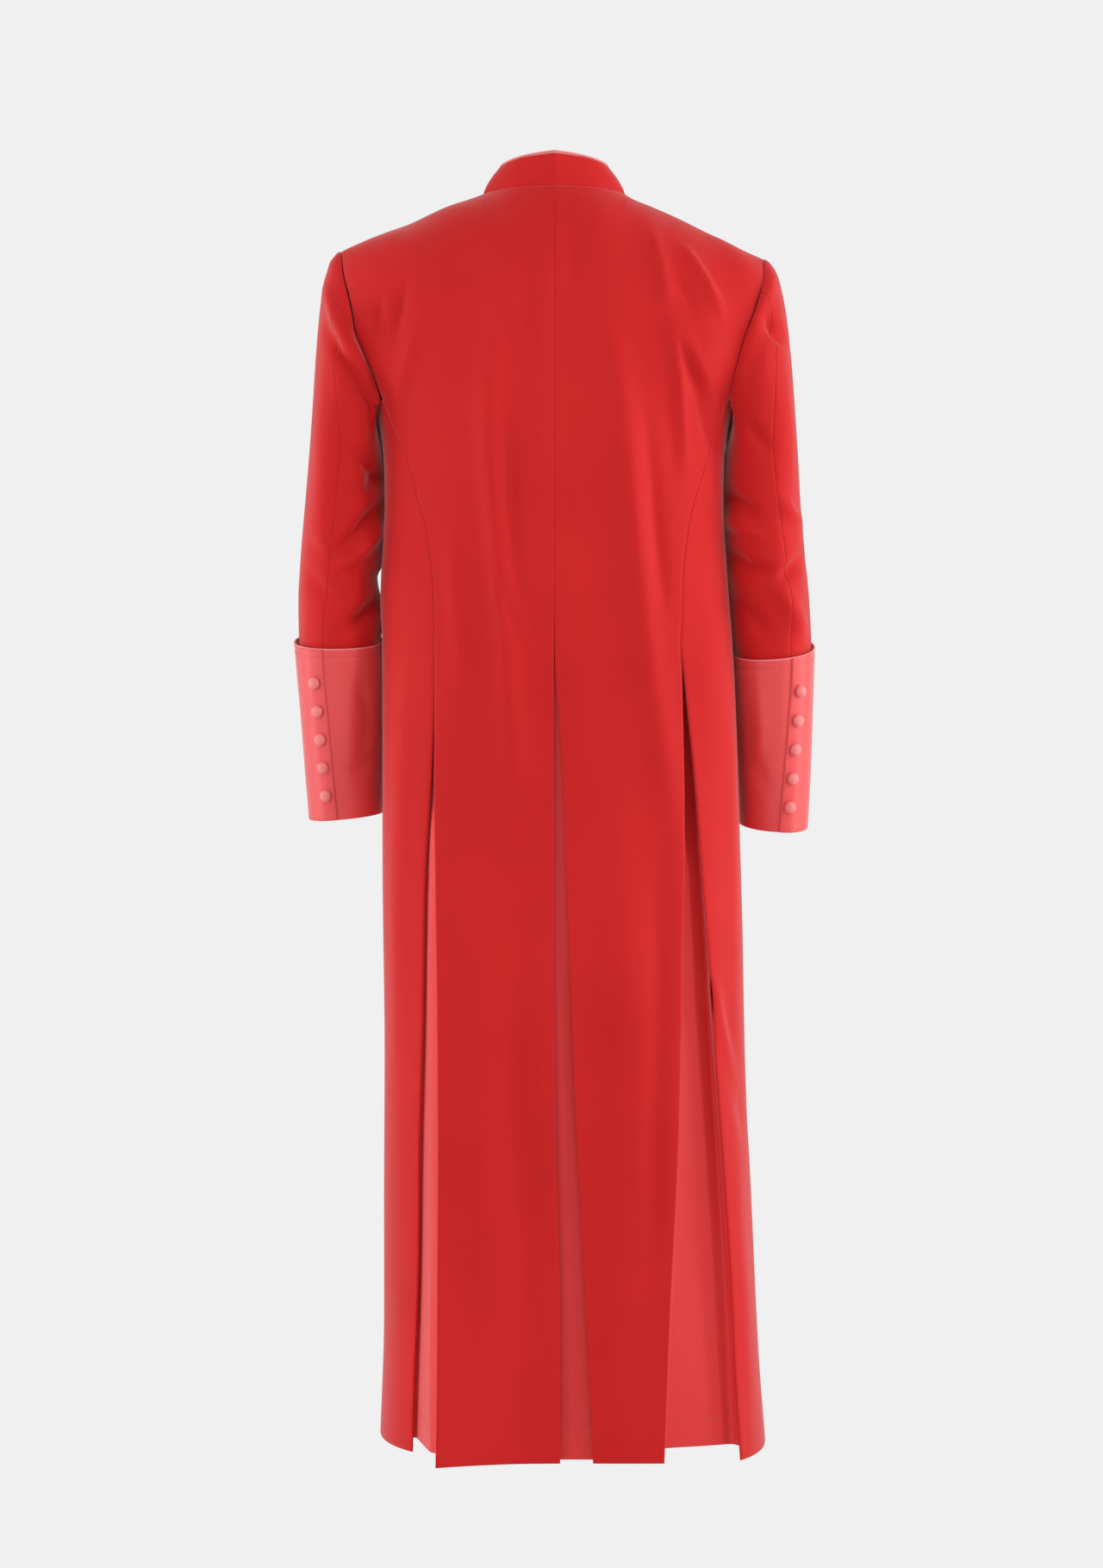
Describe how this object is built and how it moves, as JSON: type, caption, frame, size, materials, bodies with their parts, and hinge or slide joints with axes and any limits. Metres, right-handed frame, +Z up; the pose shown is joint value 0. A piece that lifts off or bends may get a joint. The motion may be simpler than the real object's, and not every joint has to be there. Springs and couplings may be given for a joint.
{
  "type": "cassock",
  "caption": "Long red cassock with a standing collar, satin pleat inserts behind and deep turned-up satin cuffs with covered buttons, hanging as worn.",
  "frame": {"origin": "middle of the neck base, level with the neck seam at the shoulders", "axes": "+Z up, +Y towards the back of the garment, +X towards the wearer's left"},
  "size_m": [0.608, 0.4119, 1.4743],
  "materials": {
    "wool_body": "matt red wool blend",
    "satin_trim": "red duchess satin"
  },
  "bodies": {
    "root": {"back_left": "wool_body", "back_right": "wool_body", "collar": "wool_body", "collar_piping": "satin_trim", "cuff_button_left_1": "satin_trim", "cuff_button_left_2": "satin_trim", "cuff_button_left_3": "satin_trim", "cuff_button_left_4": "satin_trim", "cuff_button_left_5": "satin_trim", "cuff_button_right_1": "satin_trim", "cuff_button_right_2": "satin_trim", "cuff_button_right_3": "satin_trim", "cuff_button_right_4": "satin_trim", "cuff_button_right_5": "satin_trim", "cuff_left": "satin_trim", "cuff_right": "satin_trim", "front_left": "wool_body", "front_right": "wool_body", "pleat_insert_centre": "satin_trim", "pleat_insert_left": "satin_trim", "pleat_insert_right": "satin_trim", "side_left": "wool_body", "side_right": "wool_body", "sleeve_under_left": "wool_body", "sleeve_under_right": "wool_body", "sleeve_upper_left": "wool_body", "sleeve_upper_right": "wool_body"}
  },
  "joints": []
}
